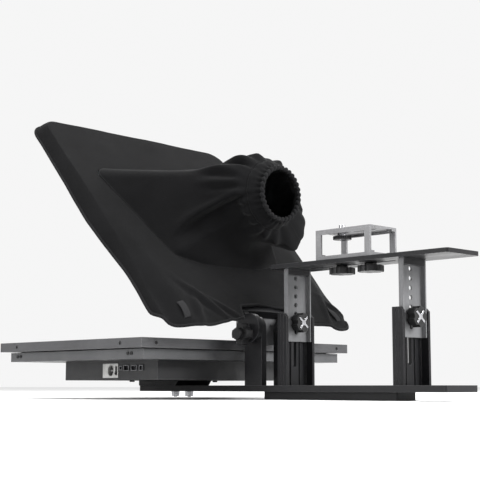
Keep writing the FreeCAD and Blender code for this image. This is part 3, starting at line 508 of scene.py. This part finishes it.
# ---- outlines of the hood face and its mouth ---------------------------------------
def rounded(corners, arc_points=9):
    """Rounded closed outline. Returns its points, and where each corner's middle is."""
    points, middles = [], []
    for index, (x, s, radius) in enumerate(corners):
        here = Vector((x, s))
        before = (Vector(corners[index - 1][:2]) - here).normalized()
        after = (Vector(corners[(index + 1) % len(corners)][:2]) - here).normalized()
        half = before.angle(after) / 2
        centre = here + (before + after).normalized() * (radius / math.sin(half))
        start = here + before * (radius / math.tan(half)) - centre
        turn = start.angle_signed(here + after * (radius / math.tan(half)) - centre)
        middles.append(len(points) + arc_points // 2)
        for step in range(arc_points):
            spin = Matrix.Rotation(-turn * step / (arc_points - 1), 2)
            points.append(centre + spin @ start)
    return points, middles


def even(points, count):
    """count points evenly along an open line of points, without its last one."""
    xy = np.array(points)
    steps = np.hypot(*(xy[1:] - xy[:-1]).T)
    run = np.concatenate([[0.0], np.cumsum(steps)])
    at = np.linspace(0.0, run[-1], count, endpoint=False)
    return np.stack([np.interp(at, run, xy[:, 0]), np.interp(at, run, xy[:, 1])], 1)


def four_sides(corners, marks):
    """Closed outline with SIDE_COUNT points from each marked corner to the next."""
    points, middles = rounded(corners)
    stops = [middles[m] for m in marks]
    sides = []
    for index, start in enumerate(stops):
        end = stops[(index + 1) % len(stops)]
        line = points[start:end + 1] if end > start else points[start:] + points[:end + 1]
        sides.append(even([tuple(p) for p in line], SIDE_COUNT))
    return np.concatenate(sides)


def mirrored(right):
    """Adds the left half of an outline to its right half, in the same turning sense."""
    return right + [(-x, s, r) for x, s, r in reversed(right)]


# corners of the outlines: x, s and the corner's radius
MOUTH_RIGHT = [(60.0, 131.0, 150.0), (118.0, 150.0, 16.0), (167.0, 373.0, 24.0)]
OUTER_RIGHT = [(14.0, 42.0, 50.0), (58.0, 33.0, 12.0), (70.0, 3.0, 8.0), (120.0, 3.0, 60.0),
               (145.0, -9.0, 40.0), (174.0, -5.0, 12.0), (190.0, 34.0, 30.0), (203.0, 125.0, 80.0),
               (201.0, TOP_S + 5.0, 26.0)]
OUTER_LEFT = [(-203.0, TOP_S + 15.0, 26.0), (-202.0, 120.0, 200.0), (-217.0, 3.0, 7.0),
              (-205.0, -4.0, 12.0), (-176.0, -18.0, 60.0), (-138.0, -10.0, 60.0),
              (-92.0, 0.0, 40.0), (-71.0, 2.0, 8.0), (-58.0, 33.0, 12.0), (-14.0, 42.0, 50.0)]
MOUTH = four_sides(mirrored(MOUTH_RIGHT), (1, 2, 3, 4))
OUTER = four_sides(OUTER_RIGHT + OUTER_LEFT, (5, 8, 9, 11))


def bowed(x, s):
    """The face's sides bow out in the middle of their height."""
    rise = math.sin(math.pi * min(1.0, max(0.0, (s + 10) / 500)))
    return x * (1 + 0.034 * rise * smooth(120, 200, abs(x)))


def face_n(x, s):
    """Height of the face cloth over the hood plane: taut above, slack and creased at the skirt."""
    n = -2.0
    n += 1.2 * ripple(x, s, 0, 95.0, 3.1) + 0.35 * ripple(x, s, 0, 30.0, 8.7)
    outside = smooth(172, 212, abs(x))
    n += 14.0 * outside * (1 - smooth(40, 310, s))
    skirt = 1 - smooth(15, 95, s)
    n -= 2.2 * skirt * (1 + ripple(x, s * 0.4, 0, 34.0, 5.2))
    for side, x0, s0, lean, size in FACE_CREASES:
        away = (side * x - x0) - lean * (s - s0)
        reach = math.exp(-((s - s0) / CREASE_REACH) ** 2)
        crest = math.exp(-(away / 6.0) ** 2) - 0.55 * math.exp(-((away - 12.0) / 8.0) ** 2)
        n -= size * reach * crest
    return min(n, -0.9) if abs(x) < 176 and s > 20 else n


def face_row(share):
    """One ring of the face, from the mouth (0) to the crease (1), and its UVs."""
    line, uvs = [], []
    for inner, outer in zip(MOUTH, OUTER):
        x, s = inner * (1 - share) + outer * share
        line.append(hood_point(bowed(x, s), s, face_n(x, s)))
        uvs.append((x * MM, s * MM))
    return line, uvs


def wall_row(share):
    """One ring of the wall, from the crease (0) to the hem (1), and its UVs."""
    line, uvs = [], []
    for index, (x, s) in enumerate(OUTER):
        along = OUTER[(index + 1) % RING_POINTS] - OUTER[index - 1]
        out = np.array([along[1], -along[0]]) / np.hypot(*along)
        rim = smooth(4.0, 34.0, s) * smooth(150, 200, abs(x)) + smooth(TOP_S - 60, TOP_S - 20, s)
        rim = min(1.0, rim)
        depth = (WALL_D - max(0.0, face_n(x, s))) * rim
        spread = 10.0 + 6.0 * math.exp(-((s - 275.0) / 80.0) ** 2) - 3.5 * (1 - smooth(65, 190, s))
        flare = spread * rim
        curl = math.sin(share * math.pi / 2)
        hang = 3.5 * (1 - rim) * share
        wave = (1.2 * rim + 2.6 * (1 - rim)) * share * ripple(x, s, 0, 46.0, 1.7)
        up_flare = flare * share * (1 if s > 400 else 0.2)
        px = bowed(x, s) + out[0] * (flare * share + 2.2 * curl * rim)
        ps = s + out[1] * (up_flare + 2.2 * curl * rim + hang)
        line.append(hood_point(px, ps, face_n(x, s) + depth * share ** 1.25 + wave))
        uvs.append(((x + out[0] * depth * share) * MM, (s + out[1] * depth * share) * MM))
    return line, uvs


def build_face():
    """Face sheet from the mouth out to the crease, round it, and along the wall to the hem."""
    grid = [face_row(row / (FACE_ROWS - 1)) for row in range(FACE_ROWS)]
    grid += [wall_row(row / WALL_ROWS) for row in range(1, WALL_ROWS + 1)]
    rows = [line for line, _ in grid]
    obj = grid_object("hood_face_cloth", rows, False, [uv for _, uvs in grid for uv in uvs])
    modifier(obj, "SUBSURF", levels=1, render_levels=1)
    modifier(obj, "SOLIDIFY", thickness=CLOTH_T * MM, offset=0.0)
    return obj, rows


# ---- shroud and cuff ------------------------------------------------------------------
def ring_angle(index):
    """Direction on the lens ring for a point on the mouth, side by side."""
    side, step = divmod(index, SIDE_COUNT)
    start, end = CORNER_DEGREES[side], CORNER_DEGREES[side + 1]
    return math.radians(start + (end - start) * step / SIDE_COUNT)


def half_turn(degrees):
    """The same direction, from -180 to 180 degrees."""
    return (degrees + 180) % 360 - 180


def shroud_row(share):
    """One ring of the shroud, from the mouth (0) to the lens ring (1), as points in mm."""
    line = []
    ease = share ** 0.92
    puff = 8.0 * smooth(0.55, 0.9, share) * (1 - smooth(0.93, 1.0, share))
    for index, (x, s) in enumerate(MOUTH):
        y0 = HOOD_Y + (s + MOUTH_N) / ROOT2
        z0 = HOOD_Z + (s - MOUTH_N) / ROOT2
        angle = ring_angle(index)
        radius = RING_R + puff * (1.0 + 0.6 * math.sin(angle)) + 3.0 * share
        x1 = radius * math.cos(angle)
        z1 = RING_Z + radius * math.sin(angle)
        y = y0 + (RING_Y - y0) * share
        line.append(Vector((x + (x1 - x) * ease, y, z0 + (z1 - z0) * ease)))
    return line


def ridge_push(degrees, share):
    """The two ridges that run from the mouth's lower corners, and the hollows under them."""
    climb = RIDGE_CLIMB * share ** 0.55
    left = degrees - (CORNER_DEGREES[3] - climb)
    right = (CORNER_DEGREES[4] - 360.0 + climb) - (degrees - 360.0 * (degrees > 180))
    push = 0.0
    for below, size in ((left, 1.0), (right, 0.8)):
        below -= 360.0 * (below > 180)
        size *= smooth(0.04, 0.3, share) * (1 - 0.75 * smooth(0.82, 1.0, share))
        push -= 17.0 * size * smooth(0.0, 3.2, below) * (1 - smooth(24, 80, below))
        push += 5.0 * size * math.exp(-((below + 1.6) / 4.5) ** 2)
    return push


def shroud_push(angle, share, point):
    """How far the shroud's cloth stands out from its plain tunnel, mm."""
    degrees = math.degrees(angle)
    belly = math.sin(math.pi * share)
    top = max(0.0, math.sin(angle))
    low = max(0.0, -math.sin(angle))
    flank = abs(math.cos(angle)) ** 2
    push = -3.5 * belly * top * (1 - share) - 8.0 * belly ** 1.2 * low ** 1.3 - 3.0 * belly * flank
    gather = smooth(0.45, 1.0, share)
    wander = ripple(math.cos(angle) * 3, math.sin(angle) * 3, share * 2.0, 1.0, 2.3)
    turn = angle + 0.2 * wander * (1 - share)
    phase = 2.2 * ripple(angle, share * 3, 0, 0.9, 6.1)
    push += 2.6 * gather ** 1.8 * math.sin(LENS_GATHERS * turn + phase)
    push += 1.2 * smooth(0.2, 0.8, share) * math.sin(7 * turn + 1.3)
    push += 1.8 * belly * ripple(point.x, point.y, point.z, 55.0, 4.4)
    push += ridge_push(degrees, share)
    sag = math.exp(-(half_turn(degrees - SAG_DEGREES) / 38.0) ** 2)
    push += SAG_DEPTH * sag * smooth(0.30, 0.78, share) * (1 - smooth(0.86, 1.0, share))
    reach = smooth(0.55, 0.85, share) * (1 - 0.5 * smooth(0.9, 1.0, share))
    for fold, lean, strength, width in LENS_FOLDS:
        away = half_turn(degrees - fold - lean * (1 - share) * 3)
        dip = math.exp(-((away - 1.7 * width) / width) ** 2)
        push += strength * reach * (math.exp(-(away / width) ** 2) - 0.8 * dip)
    return push * smooth(0.0, 0.10, share) * (1 - 0.75 * smooth(0.94, 1.0, share))


def build_shroud():
    """Fabric tunnel from the mouth to the lens ring, with sag, corner ridges and gathers."""
    rows, uvs = [], []
    for row in range(SHROUD_ROWS):
        share = row / (SHROUD_ROWS - 1)
        line = shroud_row(share)
        middle = sum(line, Vector()) / len(line)
        moved = []
        for index, point in enumerate(line):
            angle = ring_angle(index)
            outward = point - middle
            outward.y *= 0.2
            outward.normalize()
            moved.append((point + outward * shroud_push(angle, share, point)) * MM)
            uvs.append((angle * (70 + 60 * (1 - share)) * MM, share * SHROUD_RUN))
        rows.append(moved)
    obj = grid_object("hood_shroud_cloth", rows, True, uvs)
    modifier(obj, "SOLIDIFY", thickness=CLOTH_T * MM, offset=0.0)
    return obj, rows


def lens_point(radius, angle, y):
    """Point in mm at that radius round the lens axis."""
    return Vector((radius * math.cos(angle), y, RING_Z + radius * math.sin(angle)))


def build_cuff(last_row):
    """Gathered elastic cuff: a short sleeve that narrows, and a rolled hem at its end."""
    rows, uvs = [], []
    ring = [Vector(p) / MM for p in last_row]
    for row in range(CUFF_ROWS + 1):
        share = row / CUFF_ROWS
        line = []
        for index, start in enumerate(ring):
            angle = ring_angle(index)
            radius = CUFF_R + 1.6 * math.sin(CUFF_GATHERS * angle) * smooth(0.2, 0.8, share)
            end = lens_point(radius, angle, CUFF_Y + CUFF_DROP)
            point = start.lerp(end, smooth(0.0, 1.0, share))
            point.y = start.y + (end.y - start.y) * share - 0.4
            line.append(point * MM)
            uvs.append((angle * 48 * MM, SHROUD_RUN + share * CUFF_RUN))
        rows.append(line)
    obj = grid_object("lens_cuff_cloth", rows, True, uvs)
    modifier(obj, "SOLIDIFY", thickness=CLOTH_T * MM, offset=0.0)
    hem = tube("lens_cuff_elastic_hem", cuff_hem_line(), HEM_TUBE_R * MM, "binding", 12)
    return obj, hem, rows


def cuff_hem_line():
    """Wavy ring of points for the cuff's rolled hem, eight to a gather."""
    points = []
    count = 8 * CUFF_GATHERS
    for k in range(count):
        angle = 2 * math.pi * k / count
        radius = CUFF_R + 1.5 * math.sin(CUFF_GATHERS * angle)
        y = CUFF_Y + 3.6 + 0.8 * math.cos(CUFF_GATHERS * angle)
        points.append(lens_point(radius, angle, y) * MM)
    return points


# ---- stitches, hem and small trim -----------------------------------------------------
STITCH_LENGTH = 2.6          # mm
STITCH_GAP = 1.5
STITCH_R = 0.32
STITCH_LIFT = 0.6
STITCH_SIDES = 6
# rings of one stitch: share of its length, lift and size
STITCH_RINGS = ((0.0, -0.3, 0.3), (0.18, 0.25, 0.95), (0.5, 0.4, 1.0), (0.82, 0.25, 0.95),
                (1.0, -0.3, 0.3))


def add_stitch(verts, faces, uvs, ends):
    """One small capsule between two points with their cloth normals."""
    (a, normal_a), (b, normal_b) = ends
    along = (b - a).normalized()
    up = ((normal_a + normal_b) / 2).normalized()
    side = along.cross(up).normalized()
    base = len(verts)
    for share, lift, size in STITCH_RINGS:
        centre = a.lerp(b, share) + up * lift * STITCH_R * 1.5 * MM
        for k in range(STITCH_SIDES):
            angle = math.pi * k / 3
            turn = side * math.cos(angle) + up * math.sin(angle)
            verts.append(centre + turn * STITCH_R * size * MM)
            uvs.append((share * STITCH_LENGTH * MM, angle * STITCH_R * MM))
    for quad in ring_faces(len(STITCH_RINGS), STITCH_SIDES):
        faces.append(tuple(base + k for k in quad))
    last = base + (len(STITCH_RINGS) - 1) * STITCH_SIDES
    faces.append(tuple(base + k for k in reversed(range(STITCH_SIDES))))
    faces.append(tuple(last + k for k in range(STITCH_SIDES)))


def stitch_line(name, points, normals):
    """Dashed thread laid just proud of the cloth."""
    run = [0.0]
    for a, b in zip(points, points[1:]):
        run.append(run[-1] + (b - a).length / MM)
    verts, faces, uvs = [], [], []
    at = 1.0
    while at + STITCH_LENGTH < run[-1]:
        ends = []
        for d in (at, at + STITCH_LENGTH):
            k = max(1, int(np.searchsorted(run, d)))
            share = (d - run[k - 1]) / max(1e-6, run[k] - run[k - 1])
            normal = normals[k - 1].lerp(normals[k], share).normalized()
            ends.append((points[k - 1].lerp(points[k], share), normal))
        add_stitch(verts, faces, uvs, ends)
        at += STITCH_LENGTH + STITCH_GAP
    return make_object(name, verts, faces, "thread", uvs)


def row_normals(rows, row):
    """Cloth normals along one row of a grid of points."""
    count = len(rows[row])
    found = []
    for index in range(count):
        along = rows[row][(index + 1) % count] - rows[row][index - 1]
        across = rows[min(row + 1, len(rows) - 1)][index] - rows[max(row - 1, 0)][index]
        found.append(along.cross(across).normalized())
    return found


def stitch_row(name, rows, row, end):
    """Stitches along a row, from its start to share end of its length."""
    count = len(rows[row])
    normals = row_normals(rows, row)
    picked = [k % count for k in range(int(end * count) + 1)]
    points = [rows[row][k] + normals[k] * STITCH_LIFT * MM for k in picked]
    return stitch_line(name, points, [normals[k] for k in picked])


def build_trim(face_rows, shroud_rows):
    """Hem with its spring wire, piping round the mouth, stitching and the corner tabs."""
    piping_points = [a * 0.5 + b * 0.5 for a, b in zip(face_rows[0], shroud_rows[1])]
    return [tube("hood_wire_hem", face_rows[-1], WIRE_R * MM, "binding", 10),
            tube("mouth_piping", piping_points, PIPING_R * MM, "binding", 8),
            stitch_row("hem_stitches", face_rows, -4, 1.0),
            stitch_row("crease_stitches", face_rows, FACE_ROWS - 4, 0.76),
            stitch_row("mouth_stitches", face_rows, 2, 1.0),
            hem_tab("left_hem_tab", -1),
            hem_tab("right_hem_tab", 1)]


def hem_tab(name, side):
    """Folded webbing loop sewn to the skirt near its bottom corner."""
    width, length, thick = 9.0, 34.0, 1.4
    corners = ((-width / 2, 0.0), (width / 2, 0.0), (width / 2, thick), (-width / 2, thick))
    x0, s0 = (-181.0, 34.0) if side < 0 else (158.0, 42.0)
    rows = 22
    verts, uvs = [], []
    for row in range(rows):
        share = row / (rows - 1)
        s = s0 - length * share
        bulge = 3.4 * math.sin(math.pi * share) ** 0.7
        for dx, lift in corners:
            x = x0 + side * dx + side * 3.0 * share
            n = face_n(bowed(x, s), s) - 0.9 - bulge - lift
            verts.append(hood_point(x, s, n))
            uvs.append((share * length * MM, (dx + lift) * MM))
    faces = ring_faces(rows, 4, side > 0)
    faces.append((0, 1, 2, 3))
    faces.append(tuple(4 * (rows - 1) + k for k in (3, 2, 1, 0)))
    obj = make_object(name, verts, faces, "webbing", uvs)
    modifier(obj, "BEVEL", width=0.0004, segments=2)
    return obj


face, face_rows = build_face()
shroud, shroud_rows = build_shroud()
cuff, cuff_hem, cuff_rows = build_cuff(shroud_rows[-1])
trim = build_trim(face_rows, shroud_rows)

for piece in [face, shroud, cuff, cuff_hem, *trim]:
    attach(piece, "hood")


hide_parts("hood_face")
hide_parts("hood_shroud")
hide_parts("lens_cuff")

# ---- camera, light and floor ---------------------------------------------------------
CAMERA_AT = Vector((-1.3344, -1.1230, 0.0200))
CAMERA_YAW = 44.46
CAMERA_PITCH = 7.17
CAMERA_LENS = 87.28          # mm, on a sensor 36 mm wide
LIGHT_TARGET = Vector((0.0, 0.18, 0.22))
WORLD_STRENGTH = 0.92
FLOOR_REACH = 30.0           # metres
FLOOR_Z = -0.0004
FLOOR_STEPS = 96
# lights: name, place, size and power
SOFTBOXES = (("key", (0.9, -2.9, 1.5), (1.6, 1.2), 150.0),
             ("top", (-0.9, 0.1, 2.8), (1.8, 1.8), 75.0),
             ("rim", (1.9, 1.9, 1.8), (1.6, 1.6), 30.0),
             ("side", (-2.8, 0.9, 0.9), (0.8, 1.4), 30.0))


def add_camera():
    """Camera at the viewing angle, with no shift and no depth of field."""
    data = bpy.data.cameras.new("camera")
    data.lens = CAMERA_LENS
    data.sensor_width = 36.0
    camera = bpy.data.objects.new("camera", data)
    camera.location = CAMERA_AT
    camera.rotation_euler = (math.radians(90 + CAMERA_PITCH), 0.0, -math.radians(CAMERA_YAW))
    bpy.context.scene.collection.objects.link(camera)
    bpy.context.scene.camera = camera


def add_softbox(name, place, size, power):
    """Rectangular area light that faces the object."""
    data = bpy.data.lights.new(name, "AREA")
    data.shape = "RECTANGLE"
    data.size, data.size_y = size
    data.energy = power
    light = bpy.data.objects.new(name, data)
    light.location = place
    light.rotation_euler = (LIGHT_TARGET - Vector(place)).to_track_quat("-Z", "Y").to_euler()
    bpy.context.scene.collection.objects.link(light)


def add_floor():
    """Large pale disc with a very fine mottled surface."""
    turns = [2 * math.pi * k / FLOOR_STEPS for k in range(FLOOR_STEPS)]
    rim = [(FLOOR_REACH * math.cos(turn), FLOOR_REACH * math.sin(turn), FLOOR_Z) for turn in turns]
    mesh = bpy.data.meshes.new("floor")
    mesh.from_pydata(rim, [], [tuple(range(FLOOR_STEPS))])
    floor = bpy.data.objects.new("floor", mesh)
    bpy.context.scene.collection.objects.link(floor)
    material, tree, shader = new_material("floor_paper", Specular_IOR_Level=0.05)
    mottle = noise_fac(tree, object_coords(tree), 6.0, 4.0)
    pale = ramp(tree, mottle, (0.80, 0.80, 0.80), (0.84, 0.84, 0.84))
    tree.links.new(pale, shader.inputs["Base Color"])
    tree.links.new(remap(tree, mottle, 0.85, 0.95), shader.inputs["Roughness"])
    mesh.materials.append(material)


def add_world():
    """Plain white surroundings."""
    world = bpy.data.worlds.new("studio")
    bpy.context.scene.world = world
    world.use_nodes = True
    background = world.node_tree.nodes["Background"]
    background.inputs[0].default_value = (1.0, 1.0, 1.0, 1)
    background.inputs[1].default_value = WORLD_STRENGTH


add_camera()
add_world()
add_floor()
for softbox in SOFTBOXES:
    add_softbox(*softbox)
bpy.context.scene.view_settings.view_transform = "Standard"
